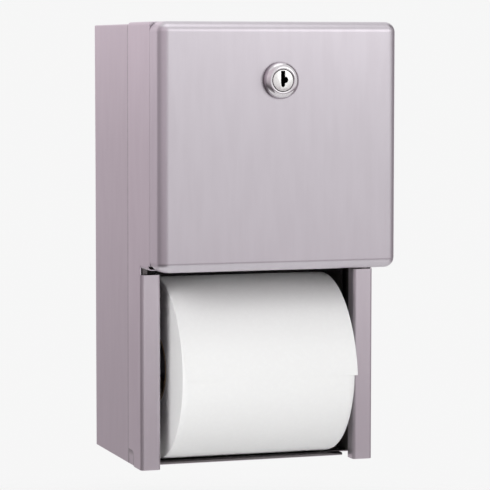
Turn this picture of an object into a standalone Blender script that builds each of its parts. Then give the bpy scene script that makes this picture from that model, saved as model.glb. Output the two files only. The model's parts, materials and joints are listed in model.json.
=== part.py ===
# Double roll toilet paper dispenser, surface mounted, in folded sheet steel.
# X is to the right seen from the front, -Y is the front, +Z is up.
# Pieces are written in cabinet places: X from the middle, Y from the wall, Z from the underside.
# A root empty then puts the middle of the back face at the world origin.

import math

import bmesh
import bpy
from mathutils import Matrix, Vector

mm = 0.001
half = 0.5
full_turn = 2 * math.pi
quarter_turn = math.pi / 2

# Driving dimensions: the rolls and their spindles, and the room that the cabinet leaves round them
roll_diameter = 117.0 * mm
roll_width = 114.0 * mm
core_bore = 41.0 * mm
core_wall = 0.7 * mm
spindle_diameter = 29.0 * mm
pin_diameter = 7.2 * mm
spindle_lift = 12.0 * mm          # how far a spindle rises in its slots
rear_room = 16.5 * mm             # wall to the rolls
side_room = 20.5 * mm             # a roll's end to the cabinet's side
floor_room = 1.2 * mm             # underside to the lower roll
middle_room = 17.0 * mm           # between the two rolls
top_room = 27.8 * mm              # reserve roll to the top
front_room = 17.5 * mm            # reserve roll to the door's face
door_depth = 21.0 * mm            # the door's face to the seam behind it
column_setback = 19.0 * mm        # the seam to the face of the two lower columns
rear_box_setback = 17.7 * mm      # the columns' face to the rear box's front edge
column_rise = 4.5 * mm            # column tops over the lower roll
column_gap = 4.1 * mm             # open slit between a column and the upper box
sheet = 0.8 * mm
seat_gap = 0.3 * mm               # clearance wherever two pieces touch
overrun = 5.0 * mm                # how far a cutter passes the face it cuts
bend_steps = 4
merge_distance = 0.01 * mm

half_sheet = sheet * half
roll_radius = roll_diameter * half
core_radius = core_bore * half + core_wall
spindle_radius = spindle_diameter * half
pin_radius = pin_diameter * half

# Rolls' places: a roll hangs on its spindle, so its axis lies below the spindle's
roll_drop = core_bore * half - spindle_radius - seat_gap
spindle_depth = rear_room + roll_radius
lower_spindle_height = floor_room + roll_radius + roll_drop
spindle_spacing = roll_diameter + middle_room
upper_spindle_height = lower_spindle_height + spindle_spacing

# Cabinet's outer size and its levels
half_width = roll_width * half + side_room
cabinet_width = half_width * 2
cabinet_height = upper_spindle_height - roll_drop + roll_radius + top_room
cabinet_depth = spindle_depth + roll_radius + front_room
frame_depth = cabinet_depth - door_depth
column_depth = frame_depth - column_setback
rear_box_depth = column_depth - rear_box_setback
column_height = floor_room + roll_diameter + column_rise
upper_bottom = column_height + column_gap
side_mid = half_width - half_sheet
rear_half_width = half_width - sheet - seat_gap


for old in list(bpy.data.objects):
    bpy.data.objects.remove(old, do_unlink=True)


def new_collection(name):
    group = bpy.data.collections.new(name)
    bpy.context.scene.collection.children.link(group)
    return group


parts = new_collection("double_roll_dispenser")
cutters = new_collection("cutters")
place_of = {}


def add_empty(name, place, parent=None):
    # an empty at a place of the cabinet, on the axis of what it carries
    empty = bpy.data.objects.new(name, None)
    empty.empty_display_size = pin_radius
    parts.objects.link(empty)
    empty.parent = parent
    place_of[name] = Vector(place)
    start = place_of[parent.name] if parent else Vector((0, 0, 0))
    empty.location = place_of[name] - start
    return empty


root = add_empty("cabinet_root", (0, 0, -cabinet_height * half))
place_of["cabinet_root"] = Vector((0, 0, 0))


# Finishes: colour, roughness and metallic value
satin_steel = ((0.46, 0.44, 0.44), 0.38, 1)
bright_steel = ((0.62, 0.61, 0.61), 0.35, 1)
plated_steel = ((0.50, 0.50, 0.48), 0.38, 1)
chrome_metal = ((0.80, 0.80, 0.80), 0.12, 1)
plug_metal = ((0.66, 0.63, 0.58), 0.3, 1)
abs_grey = ((0.10, 0.10, 0.11), 0.45, 0)
kraft_board = ((0.45, 0.34, 0.24), 0.8, 0)
white_paper = ((0.86, 0.86, 0.86), 0.9, 0)

crease_angle = math.radians(35)


def make_look(name, finish):
    colour, roughness, metallic = finish
    look = bpy.data.materials.new(name)
    look.use_nodes = True
    shader = look.node_tree.nodes["Principled BSDF"]
    shader.inputs["Base Color"].default_value = (*colour, 1)
    shader.inputs["Roughness"].default_value = roughness
    shader.inputs["Metallic"].default_value = metallic
    return look


def add_part(name, mesh, finish, parent, place=(0, 0, 0), turn=(0, 0, 0)):
    part = bpy.data.objects.new(name, mesh)
    parts.objects.link(part)
    part.parent = parent
    part.location = Vector(place) - place_of[parent.name]
    part.rotation_euler = turn
    mesh.materials.append(make_look(name, finish))
    mesh.shade_smooth()
    mesh.set_sharp_from_angle(angle=crease_angle)
    return part


def add_cutter(name, mesh, parent, place=(0, 0, 0), turn=(0, 0, 0)):
    cutter = bpy.data.objects.new(name, mesh)
    cutters.objects.link(cutter)
    cutter.parent = parent
    cutter.location = Vector(place) - place_of[parent.name]
    cutter.rotation_euler = turn
    cutter.hide_render = True
    cutter.display_type = "WIRE"
    return cutter


def cut(part, cutter):
    change = part.modifiers.new("cut " + cutter.name, "BOOLEAN")
    change.operation = "DIFFERENCE"
    change.object = cutter


def thicken(part, thickness=sheet):
    # the modelled surface is the middle of the sheet
    wall = part.modifiers.new("sheet", "SOLIDIFY")
    wall.thickness = thickness
    wall.offset = 0
    wall.use_even_offset = True


def mirror(part):
    other_half = part.modifiers.new("other side", "MIRROR")
    other_half.merge_threshold = merge_distance


def to_mesh(bm, name):
    mesh = bpy.data.meshes.new(name)
    bm.to_mesh(mesh)
    bm.free()
    return mesh


def edge_chain(bm, points):
    # the edge of a sheet, from which it is extruded and folded
    corners = [bm.verts.new(point) for point in points]
    return [bm.edges.new(pair) for pair in zip(corners, corners[1:])]


def extend(bm, edges, step):
    # a flat stretch of sheet
    made = bmesh.ops.extrude_edge_only(bm, edges=edges)["geom"]
    bmesh.ops.translate(bm, vec=step, verts=[item for item in made if isinstance(item, bmesh.types.BMVert)])
    return [item for item in made if isinstance(item, bmesh.types.BMEdge)]


def fold(bm, edges, centre, axis, angle, steps=bend_steps):
    # a bend, as a press brake makes it, about an axis through centre
    for _ in range(steps):
        made = bmesh.ops.extrude_edge_only(bm, edges=edges)["geom"]
        corners = [item for item in made if isinstance(item, bmesh.types.BMVert)]
        bmesh.ops.rotate(bm, cent=centre, matrix=Matrix.Rotation(angle / steps, 3, axis), verts=corners)
        edges = [item for item in made if isinstance(item, bmesh.types.BMEdge)]
    return edges


def ends_at(edges, index, value):
    # those of the edges that lie at one place along an axis
    return [edge for edge in edges if all(abs(v.co[index] - value) < merge_distance for v in edge.verts)]


def all_edges_at(bm, index, value):
    return ends_at(bm.edges, index, value)


def finish_sheet(bm, name):
    bmesh.ops.recalc_face_normals(bm, faces=bm.faces)
    return to_mesh(bm, name)


def block_mesh(name, low, high, corner_radius=0):
    # a box between two corners, with its long edges rounded where a radius is given
    bm = bmesh.new()
    size = Vector(high) - Vector(low)
    middle = (Vector(high) + Vector(low)) * half
    bmesh.ops.create_cube(bm, size=1, matrix=Matrix.Translation(middle) @ Matrix.Diagonal((*size, 1)))
    if corner_radius:
        along_x = [edge for edge in bm.edges if abs(edge.verts[0].co.x - edge.verts[1].co.x) > size.x * half]
        bmesh.ops.bevel(bm, geom=along_x, offset=corner_radius, segments=bend_steps, affect="EDGES", profile=half)
    return to_mesh(bm, name)


def rod_mesh(name, radius, length, sides=32):
    # a cylinder along Z about its own middle
    bm = bmesh.new()
    bmesh.ops.create_cone(bm, cap_ends=True, segments=sides, radius1=radius, radius2=radius, depth=length)
    return to_mesh(bm, name)


def turned_part(name, profile, closed, finish, parent, place, turn, steps=32):
    # a profile of (radius, height), from the top of its outer side down, turned about Z
    bm = bmesh.new()
    corners = [bm.verts.new((radius, 0, height)) for radius, height in profile]
    following = corners[1:] + corners[:1] if closed else corners[1:]
    for first, second in zip(corners, following):
        bm.edges.new((first, second))
    part = add_part(name, to_mesh(bm, name), finish, parent, place, turn)
    lathe = part.modifiers.new("turned", "SCREW")
    lathe.axis = "Z"
    lathe.angle = full_turn
    lathe.steps = steps
    lathe.render_steps = steps
    lathe.use_merge_vertices = True
    lathe.merge_threshold = merge_distance
    return part


def plate_mesh(name, loops, thickness):
    # a flat plate from closed outlines in its own XY plane, the first the rim and the rest its holes
    outline = bpy.data.curves.new(name, "CURVE")
    outline.dimensions = "2D"
    outline.fill_mode = "BOTH"
    outline.extrude = thickness * half
    for points in loops:
        spline = outline.splines.new("POLY")
        spline.points.add(len(points) - 1)
        for corner, point in zip(spline.points, points):
            corner.co = (*point, 0, 1)
        spline.use_cyclic_u = True
    holder = bpy.data.objects.new(name, outline)
    bpy.context.scene.collection.objects.link(holder)
    seen = bpy.context.evaluated_depsgraph_get()
    mesh = bpy.data.meshes.new_from_object(holder.evaluated_get(seen))
    bpy.data.objects.remove(holder, do_unlink=True)
    bpy.data.curves.remove(outline)
    bm = bmesh.new()
    bm.from_mesh(mesh)
    bmesh.ops.remove_doubles(bm, verts=bm.verts, dist=merge_distance)
    bmesh.ops.recalc_face_normals(bm, faces=bm.faces)
    bm.to_mesh(mesh)
    bm.free()
    return mesh


def arc_points(centre, radius, start, end, count):
    # points on an arc, angles from the first axis towards the second
    spread = [start + (end - start) * i / (count - 1) for i in range(count)]
    return [(centre[0] + radius * math.cos(a), centre[1] + radius * math.sin(a)) for a in spread]


def circle_points(radius, count=32):
    return arc_points((0, 0), radius, 0, full_turn * (count - 1) / count, count)


# the turn that lays a piece modelled about Z along X, or along -Y with its top to the front
along_x = (0, quarter_turn, 0)
to_front = (quarter_turn, 0, 0)


bend_radius = 1.8 * mm            # of the sheet's middle in every visible fold


# Rear box: back, floor, top and sides in one welded tray, open at the front
rear_corner_radius = 3.0 * mm
hem_radius = 0.5 * mm
hem_length = 6.0 * mm
hem_inset = 13.9 * mm             # from the cabinet's side to the end of the floor's hem
wall_hole_diameter = 7.0 * mm
wall_hole_spacing_x = 101.6 * mm
wall_hole_spacing_z = 177.8 * mm
wall_hole_height = 44.0 * mm      # of the lower pair


def make_rear_box():
    bm = bmesh.new()
    width = (rear_half_width - half_sheet) * 2
    depth = rear_box_depth - half_sheet
    top = cabinet_height - sheet - seat_gap - half_sheet
    height = top - half_sheet
    middle = Vector((0, -half_sheet - depth * half, half_sheet + height * half))
    size = Matrix.Diagonal((width, depth, height, 1))
    bmesh.ops.create_cube(bm, size=1, matrix=Matrix.Translation(middle) @ size)
    front = [face for face in bm.faces if face.normal.y < -half]
    bmesh.ops.delete(bm, geom=front, context="FACES_ONLY")
    # the top's side folds clear the rounder ones of the wrapper over them
    folds = [edge for edge in all_edges_at(bm, 2, top) if abs(edge.verts[0].co.y - edge.verts[1].co.y) > depth * half]
    bmesh.ops.bevel(bm, geom=folds, offset=bend_radius - sheet - seat_gap, segments=bend_steps,
                    affect="EDGES", profile=half)
    upright = [edge for edge in all_edges_at(bm, 1, -half_sheet)
               if abs(edge.verts[0].co.z - edge.verts[1].co.z) > height * half]
    bmesh.ops.bevel(bm, geom=upright, offset=rear_corner_radius - half_sheet, segments=bend_steps,
                    affect="EDGES", profile=half)
    hem_end = half_width - hem_inset
    for x in (-hem_end, hem_end):
        floor = [face for face in bm.faces if face.normal.z < -half]
        around = floor + [e for face in floor for e in face.edges] + [v for face in floor for v in face.verts]
        bmesh.ops.bisect_plane(bm, geom=list(set(around)), plane_co=(x, 0, 0), plane_no=(1, 0, 0))
    lip = [edge for edge in ends_at(all_edges_at(bm, 1, -rear_box_depth), 2, half_sheet)
           if all(abs(v.co.x) < hem_end + merge_distance for v in edge.verts)]
    lip = fold(bm, lip, (0, -rear_box_depth, half_sheet + hem_radius), "X", -math.pi, bend_steps * 2)
    extend(bm, lip, (0, hem_length, 0))
    box = add_part("rear_box", finish_sheet(bm, "rear_box"), satin_steel, root)
    thicken(box)
    for column in (-half, half):
        for row in (0, 1):
            place = (wall_hole_spacing_x * column, 0, wall_hole_height + wall_hole_spacing_z * row)
            hole = rod_mesh("wall_hole", wall_hole_diameter * half, overrun)
            cut(box, add_cutter("wall_hole", hole, root, place, to_front))


# Door: one drawn pan with a lock hole
door_edge_radius = 6.4 * mm
door_edge_steps = 6
door_seam = 0.3 * mm
lock_drop = 36.0 * mm             # top to the lock's axis
lock_height = cabinet_height - lock_drop
lock_body_diameter = 18.6 * mm

# Piano hinge in the seam along the door's lower edge, with its leaves inside, on the sill and the door
hinge_knuckles = 15
knuckle_gap = 0.3 * mm
leaf_length = 13.0 * mm
leaf_sheet = 0.8 * mm
knuckle_radius = 1.5 * mm         # of the curled sheet's middle
hinge_pin_radius = knuckle_radius - leaf_sheet * half - seat_gap
curl_angle = math.radians(285)
hinge_width = cabinet_width - door_edge_radius * 2
leaf_level = upper_bottom + sheet + seat_gap + leaf_sheet * half
hinge_height = leaf_level + knuckle_radius
leaf_root = knuckle_radius + leaf_sheet * half + seat_gap
hinge_place = (0, -frame_depth - door_seam * half, hinge_height)
# the pan's lower rear corner swings back under the pin, and the sill's edge keeps clear of it
door_root = leaf_root + seat_gap
sill_setback = math.hypot(door_root, hinge_height - upper_bottom) + seat_gap


# Front frame: the wrapper over the rear box, its two columns and the sill under the door
lap = 10.5 * mm                   # how far the wrapper passes back over the rear box
column_face = 13.0 * mm
column_return = 9.5 * mm
sill_upstand = 7.0 * mm
sill_end = 9.0 * mm               # from the side to the end of the sill's upstand
notch_height = 10.0 * mm
notch_depth = 12.0 * mm
notch_radius = 4.0 * mm


def make_front_frame():
    bm = bmesh.new()
    rear = rear_box_depth - lap
    bend_start = column_depth - half_sheet - bend_radius
    sill_level = upper_bottom + half_sheet
    top_level = cabinet_height - half_sheet
    levels = (0, column_height, sill_level + bend_radius, top_level - bend_radius)
    side = edge_chain(bm, [(side_mid, -rear, z) for z in levels])
    side = extend(bm, side, (0, rear - bend_start, 0))
    # the upper box goes on forward, the lower part turns in as a column
    upper = ends_at_heights(side, levels[2], levels[3])
    lower = ends_at_heights(side, 0, column_height)
    extend(bm, upper, (0, bend_start - frame_depth, 0))
    inward = (side_mid - bend_radius, -bend_start, 0)
    lower = fold(bm, lower, inward, "Z", -quarter_turn)
    lower = extend(bm, lower, (bend_radius * 2 + half_sheet * 2 - column_face, 0, 0))
    return_centre = (side_mid - column_face + half_sheet * 2 + bend_radius, -bend_start, 0)
    lower = fold(bm, lower, return_centre, "Z", -quarter_turn)
    extend(bm, lower, (0, column_return - bend_radius - half_sheet, 0))
    # over the top to the middle
    centre = (side_mid - bend_radius, 0, top_level - bend_radius)
    over = fold(bm, all_edges_at(bm, 2, levels[3]), centre, "Y", -quarter_turn)
    extend(bm, over, (bend_radius - side_mid, 0, 0))
    # under the upper box to the middle, with an upstand behind
    centre = (side_mid - bend_radius, 0, levels[2])
    under = [edge for edge in all_edges_at(bm, 2, levels[2])
             if all(v.co.y < -bend_start + merge_distance for v in edge.verts)]
    under = fold(bm, under, centre, "Y", quarter_turn)
    under = extend(bm, under, (bend_radius - sill_end, 0, 0))
    extend(bm, under, (sill_end - side_mid, 0, 0))
    back = [edge for edge in ends_at(all_edges_at(bm, 1, -bend_start), 2, sill_level)
            if all(v.co.x < side_mid - sill_end + merge_distance for v in edge.verts)]
    back = fold(bm, back, (0, -bend_start, sill_level + bend_radius), "X", quarter_turn)
    extend(bm, back, (0, 0, sill_upstand - bend_radius))
    frame = add_part("front_frame", finish_sheet(bm, "front_frame"), satin_steel, root)
    mirror(frame)
    thicken(frame)
    low = (-cabinet_width, -rear - notch_depth, -notch_height)
    high = (cabinet_width, -rear + overrun, notch_height)
    notch = block_mesh("foot_notch", low, high, notch_radius)
    cut(frame, add_cutter("foot_notch", notch, root))
    low = (-cabinet_width, -frame_depth - overrun, upper_bottom - overrun)
    high = (cabinet_width, hinge_place[1] + sill_setback, hinge_height)
    cut(frame, add_cutter("sill_notch", block_mesh("sill_notch", low, high), root))


def ends_at_heights(edges, low, high):
    return [edge for edge in edges
            if {round(v.co.z / merge_distance) for v in edge.verts}
            == {round(low / merge_distance), round(high / merge_distance)}]


def make_door(pivot):
    bm = bmesh.new()
    bottom = upper_bottom + half_sheet
    height = cabinet_height - half_sheet - bottom
    front = cabinet_depth - half_sheet
    rear = frame_depth + door_seam
    depth = front - rear
    middle = Vector((0, -rear - depth * half, bottom + height * half))
    size = Matrix.Diagonal((side_mid * 2, depth, height, 1))
    bmesh.ops.create_cube(bm, size=1, matrix=Matrix.Translation(middle) @ size)
    back = [face for face in bm.faces if face.normal.y > half]
    bmesh.ops.delete(bm, geom=back, context="FACES_ONLY")
    drawn = [edge for edge in bm.edges if not edge.is_boundary]
    bmesh.ops.bevel(bm, geom=drawn, offset=door_edge_radius - half_sheet, segments=door_edge_steps,
                    affect="EDGES", profile=half)
    door = add_part("door", finish_sheet(bm, "door"), satin_steel, pivot)
    thicken(door)
    hole = rod_mesh("lock_hole", lock_body_diameter * half + seat_gap, overrun * 2, 48)
    place = (0, -cabinet_depth, lock_height)
    cut(door, add_cutter("lock_hole", hole, pivot, place, to_front))
    low = (-cabinet_width, hinge_place[1] - door_root, upper_bottom - overrun)
    high = (cabinet_width, -frame_depth + overrun, hinge_height)
    cut(door, add_cutter("hinge_notch", block_mesh("hinge_notch", low, high), pivot))


def make_leaf(name, side, first_knuckle, pivot):
    # side is +1 for the leaf behind the pin and -1 for the one in front of it
    bm = bmesh.new()
    pitch = hinge_width / hinge_knuckles
    stations = [-hinge_width * half]
    for i in range(hinge_knuckles):
        start = -hinge_width * half + pitch * i
        if i % 2 == first_knuckle:
            stations += [start + knuckle_gap * half, start + pitch - knuckle_gap * half]
    stations.append(hinge_width * half)
    stations = sorted({round(x / merge_distance) for x in stations})
    far = hinge_place[1] + side * leaf_length
    near = hinge_place[1] + side * leaf_root
    row = edge_chain(bm, [(x * merge_distance, far, leaf_level) for x in stations])
    row = extend(bm, row, (0, near - far, 0))
    curled = [edge for edge in row if is_knuckle(edge, pitch, first_knuckle)]
    curled = extend(bm, curled, (0, hinge_place[1] - near, 0))
    fold(bm, curled, hinge_place, "X", -side * curl_angle, bend_steps * 3)
    leaf = add_part(name, finish_sheet(bm, name), bright_steel, pivot)
    thicken(leaf, leaf_sheet)


def is_knuckle(edge, pitch, first_knuckle):
    # a stretch of leaf edge that a knuckle of this leaf grows from
    middle = (edge.verts[0].co.x + edge.verts[1].co.x) * half
    length = abs(edge.verts[0].co.x - edge.verts[1].co.x)
    number = int((middle + hinge_width * half) / pitch)
    return number % 2 == first_knuckle and length > pitch * half


def make_hinge(pivot):
    make_leaf("cabinet_hinge_leaf", 1, 0, root)
    make_leaf("door_hinge_leaf", -1, 1, pivot)
    end = hinge_width * half
    bevel = hinge_pin_radius * half
    profile = [(0, end), (hinge_pin_radius - bevel, end), (hinge_pin_radius, end - bevel),
               (hinge_pin_radius, bevel - end), (hinge_pin_radius - bevel, -end), (0, -end)]
    turned_part("hinge_pin", profile, False, bright_steel, root, hinge_place, along_x, 12)


# Lock: barrel with a coned bezel, nut, plug with its keyway, cam and screw, and the strike it turns behind
bezel_diameter = 23.0 * mm
bezel_rim = 0.8 * mm
bezel_height = 5.6 * mm           # how far the lock stands proud of the door
bezel_top_diameter = 15.4 * mm
plug_diameter = 13.2 * mm
barrel_length = 22.0 * mm         # behind the door's face
nut_diameter = 27.0 * mm
nut_thickness = 3.6 * mm
keyway_width = 2.6 * mm
keyway_height = 10.2 * mm
keyway_depth = 6.0 * mm
ward_reach = 1.6 * mm             # how far the keyway's side bulge reaches past its edge
ward_height = 3.6 * mm
ward_drop = 1.0 * mm
tenon_size = 7.0 * mm
cam_thickness = 2.0 * mm
cam_length = 30.0 * mm
cam_width = 12.0 * mm
cam_screw_diameter = 9.0 * mm
cam_screw_head = 2.2 * mm
strike_width = 32.0 * mm
strike_length = 15.0 * mm
strike_drop = 17.0 * mm
strike_sheet = 1.2 * mm

lock_place = (0, -cabinet_depth, lock_height)
plug_radius = plug_diameter * half
cam_start = barrel_length + seat_gap


def make_lock(door_pivot, plug_pivot):
    bore = plug_radius + seat_gap
    rim = bezel_diameter * half
    body = lock_body_diameter * half
    top = bezel_top_diameter * half
    barrel = [(top, bezel_height), (rim, seat_gap + bezel_rim), (rim, seat_gap), (body, seat_gap),
              (body, -barrel_length), (bore, -barrel_length), (bore, bezel_height)]
    turned_part("lock_barrel", barrel, True, chrome_metal, door_pivot, lock_place, to_front, 48)

    nut_place = (0, -cabinet_depth + sheet + seat_gap + nut_thickness * half, lock_height)
    nut_mesh = rod_mesh("lock_nut", nut_diameter * half, nut_thickness, 6)
    nut = add_part("lock_nut", nut_mesh, plated_steel, door_pivot, nut_place, to_front)
    nut_bore = rod_mesh("nut_bore", body + seat_gap, nut_thickness + overrun, 48)
    cut(nut, add_cutter("nut_bore", nut_bore, door_pivot, nut_place, to_front))

    tenon_end = cam_start + cam_thickness
    plug = add_part("lock_plug", plug_body(tenon_end), plug_metal, plug_pivot, lock_place, to_front)
    before_plug = -cabinet_depth - bezel_height - overrun
    keyway_end = -cabinet_depth - bezel_height + keyway_depth
    low = (-keyway_width * half, before_plug, lock_height - keyway_height * half)
    high = (keyway_width * half, keyway_end, lock_height + keyway_height * half)
    cut(plug, add_cutter("keyway", block_mesh("keyway", low, high), plug_pivot))
    low = (0, before_plug, lock_height - ward_drop - ward_height * half)
    high = (keyway_width * half + ward_reach, keyway_end, lock_height - ward_drop + ward_height * half)
    cut(plug, add_cutter("key_ward", block_mesh("key_ward", low, high), plug_pivot))

    # the cam lies sideways when the key can be drawn, and turns up behind the strike
    eye = cam_width * half
    cam_end = cam_length - eye * half
    rim_points = arc_points((0, 0), eye, quarter_turn, quarter_turn * 3, 13)
    rim_points += arc_points((cam_end, 0), eye * half, -quarter_turn, quarter_turn, 9)
    hole = tenon_size * half + seat_gap
    square = [(hole, hole), (-hole, hole), (-hole, -hole), (hole, -hole)]
    cam_place = (0, -cabinet_depth + cam_start + cam_thickness * half, lock_height)
    add_part("lock_cam", plate_mesh("lock_cam", [rim_points, square], cam_thickness), plated_steel,
             plug_pivot, cam_place, to_front)

    head = cam_screw_diameter * half
    head_place = (0, -cabinet_depth + tenon_end + seat_gap, lock_height)
    screw = [(0, 0), (head, 0), (head, -cam_screw_head * half), (head * half, -cam_screw_head),
             (0, -cam_screw_head)]
    turned_part("cam_screw", screw, False, plated_steel, plug_pivot, head_place, to_front, 24)

    bm = bmesh.new()
    mid = strike_sheet * half
    level = cabinet_height - sheet - seat_gap - mid
    # the lip hangs just in front of the cam's plane
    lip_depth = cabinet_depth - cam_start + seat_gap * 2 + mid
    turn_radius = mid * 2
    row = edge_chain(bm, [(-strike_width * half, -lip_depth + strike_length, level),
                          (strike_width * half, -lip_depth + strike_length, level)])
    row = extend(bm, row, (0, turn_radius - strike_length, 0))
    row = fold(bm, row, (0, -lip_depth + turn_radius, level - turn_radius), "X", quarter_turn)
    extend(bm, row, (0, 0, turn_radius - strike_drop))
    strike = add_part("lock_strike", finish_sheet(bm, "lock_strike"), plated_steel, root)
    thicken(strike, strike_sheet)


def plug_body(tenon_end):
    # a round plug whose rear end is squared down to a tenon
    bm = bmesh.new()
    length = bezel_height + barrel_length
    place = Matrix.Translation((0, 0, bezel_height - length * half))
    bmesh.ops.create_cone(bm, cap_ends=True, segments=32, radius1=plug_radius, radius2=plug_radius,
                          depth=length, matrix=place)
    rear = [face for face in bm.faces if face.normal.z < -half]
    made = bmesh.ops.inset_region(bm, faces=rear, thickness=plug_radius - tenon_size * half)
    bmesh.ops.recalc_face_normals(bm, faces=bm.faces)
    rear = [face for face in bm.faces if face.normal.z < -half and face not in made["faces"]]
    pushed = bmesh.ops.extrude_face_region(bm, geom=rear)["geom"]
    corners = [item for item in pushed if isinstance(item, bmesh.types.BMVert)]
    bmesh.ops.translate(bm, vec=(0, 0, barrel_length - tenon_end), verts=corners)
    bmesh.ops.delete(bm, geom=rear, context="FACES_ONLY")
    bmesh.ops.recalc_face_normals(bm, faces=bm.faces)
    return to_mesh(bm, "lock_plug")


# Guides: a slotted channel inside each wall, in whose slots the spindles' pins ride
guide_inset = 5.1 * mm            # from the cabinet's side to the channel's outer face
guide_reach_back = 35.5 * mm      # behind the spindles' plane
guide_setback = 4.0 * mm          # behind the columns' face
guide_top_room = 8.0 * mm
guide_bend = 0.9 * mm
slot_clearance = 0.4 * mm
mouth_lift = 25.3 * mm            # from the reserve spindle up to where the slot turns forward
mouth_bend = 16.0 * mm
mouth_angle = math.radians(62)

guide_rear = spindle_depth - guide_reach_back
guide_front = column_depth - guide_setback
guide_top = cabinet_height - guide_top_room
mouth_rise = upper_spindle_height + mouth_lift

web_outer = half_width - guide_inset
web_mid = web_outer - half_sheet
guide_reach = rear_half_width - sheet - seat_gap
slot_half = pin_radius + slot_clearance

# Drop latch: holds the reserve spindle until the lower one rises, and turns on a rivet in the guide
latch_thickness = 1.2 * mm
latch_setback = 15.0 * mm         # pivot behind the spindles' plane
latch_turn = math.radians(14)
latch_boss = 6.0 * mm             # radius of the plate round its rivet
boss_front_shares = (1.9, 2.6)    # of a quarter turn, where the boss shows in front and behind
boss_rear_shares = (-0.1, 0.6)
latch_arm = 7.0 * mm
head_lead_angle = math.radians(4.5)
head_trail_angle = math.radians(6.0)
head_thickness = 6.5 * mm
toe_thickness = 3.4 * mm
cam_path_count = 9
rivet_shank = 1.9 * mm
rivet_head = 3.6 * mm
rivet_head_height = 0.9 * mm

latch_place_y = -spindle_depth + latch_setback
latch_place_z = lower_spindle_height + spindle_spacing * half
latch_inner = web_outer + seat_gap * 2
latch_mid = latch_inner + latch_thickness * half
pin_end = latch_inner + latch_thickness + seat_gap * 2


def make_guide(name, side):
    bm = bmesh.new()
    bottom = sheet + seat_gap
    row = edge_chain(bm, [(side * guide_reach, -guide_rear - half_sheet, bottom),
                          (side * guide_reach, -guide_rear - half_sheet, guide_top)])
    row = extend(bm, row, (side * (web_mid + guide_bend - guide_reach), 0, 0))
    bend_y = -guide_rear - half_sheet - guide_bend
    row = fold(bm, row, (side * (web_mid + guide_bend), bend_y, 0), "Z", side * quarter_turn)
    front_y = -guide_front + half_sheet + guide_bend
    row = extend(bm, row, (0, front_y - bend_y, 0))
    row = fold(bm, row, (side * (web_mid + guide_bend), front_y, 0), "Z", side * quarter_turn)
    extend(bm, row, (side * (guide_reach - web_mid - guide_bend), 0, 0))
    guide = add_part(name, finish_sheet(bm, name), bright_steel, root)
    thicken(guide)
    cut(guide, add_cutter(name + "_slot", slot_cutter(name, side), root))
    seat = rod_mesh(name + "_seat", slot_half, overrun * 2)
    cut(guide, add_cutter(name + "_seat", seat, root,
                          (side * web_mid, -spindle_depth, lower_spindle_height - slot_clearance), along_x))
    hole = rod_mesh(name + "_rivet_hole", rivet_shank + seat_gap, overrun * 2)
    cut(guide, add_cutter(name + "_rivet_hole", hole, root,
                          (side * web_mid, latch_place_y, latch_place_z), along_x))


def slot_cutter(name, side):
    # a straight run up from the lower seat, a bend and a run out to the mouth at the front
    bm = bmesh.new()
    centre_y = -spindle_depth
    start = lower_spindle_height - slot_clearance
    row = edge_chain(bm, [(side * web_mid, centre_y - slot_half, start),
                          (side * web_mid, centre_y + slot_half, start)])
    row = extend(bm, row, (0, 0, mouth_rise - start))
    row = fold(bm, row, (side * web_mid, centre_y - mouth_bend, mouth_rise), "X", mouth_angle)
    run = guide_front - spindle_depth + overrun
    extend(bm, row, (0, -run * math.sin(mouth_angle), run * math.cos(mouth_angle)))
    made = bmesh.ops.solidify(bm, geom=list(bm.faces), thickness=overrun * 2)
    bmesh.ops.recalc_face_normals(bm, faces=bm.faces)
    middle = sum((v.co.x for v in bm.verts), 0) / len(bm.verts)
    bmesh.ops.translate(bm, vec=(side * web_mid - middle, 0, 0), verts=bm.verts)
    return to_mesh(bm, name + "_slot")


def latch_outline():
    # in the latch's own plane, (distance behind the pivot, height over it)
    reach = math.hypot(latch_setback, spindle_spacing * half)
    head_radius = reach - pin_radius - seat_gap
    lean = math.atan2(latch_setback, spindle_spacing * half)
    # the head is an arc about the pivot, so turning the latch doesn't lift the reserve spindle
    head = arc_points((0, 0), head_radius, quarter_turn + lean - head_trail_angle,
                      quarter_turn + lean + head_lead_angle, 6)
    tip = quarter_turn + lean + head_lead_angle
    inner = head_radius - head_thickness
    neck = [(inner * math.cos(tip), inner * math.sin(tip)),
            (-latch_arm * half - latch_setback * half, inner - latch_arm)]
    front_boss = boss_arc(boss_front_shares)
    face = toe_face()
    back = latch_arm + pin_radius
    toe_tip = face[-1]
    shin = [(face[0][0], face[0][1] + pin_radius)]
    sole = [(toe_tip[0] - seat_gap, toe_tip[1] - toe_thickness * half),
            (toe_tip[0] + toe_thickness, toe_tip[1] - toe_thickness),
            (back, face[0][1] - toe_thickness)]
    calf = [(back, face[0][1] + pin_radius * 2)]
    return head + neck + front_boss + shin + face + sole + calf + boss_arc(boss_rear_shares)


def boss_arc(shares):
    return arc_points((0, 0), latch_boss, quarter_turn * shares[0], quarter_turn * shares[1], 6)


def toe_face():
    # the face that follows under the rising lower pin: the pin's path seen from the turning latch,
    # moved out by the pin's radius and its clearance, from the path's end back to its start
    path = []
    for i in range(cam_path_count):
        share = i / (cam_path_count - 1)
        turn = latch_turn * share
        y = -latch_setback
        z = spindle_lift * share - spindle_spacing * half
        path.append((y * math.cos(turn) - z * math.sin(turn), y * math.sin(turn) + z * math.cos(turn)))
    offset = pin_radius + seat_gap
    face = []
    for i, (y, z) in enumerate(path):
        before = path[max(i - 1, 0)]
        after = path[min(i + 1, cam_path_count - 1)]
        dy, dz = after[0] - before[0], after[1] - before[1]
        face.append((y + offset * dz / math.hypot(dy, dz), z - offset * dy / math.hypot(dy, dz)))
    # round the raised pin, from straight behind it down to the face
    end_y, end_z = path[-1]
    slope = math.atan2(face[-1][1] - end_z, face[-1][0] - end_y)
    return arc_points(path[-1], offset, 0, slope, 5)[:-1] + face[::-1]


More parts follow.
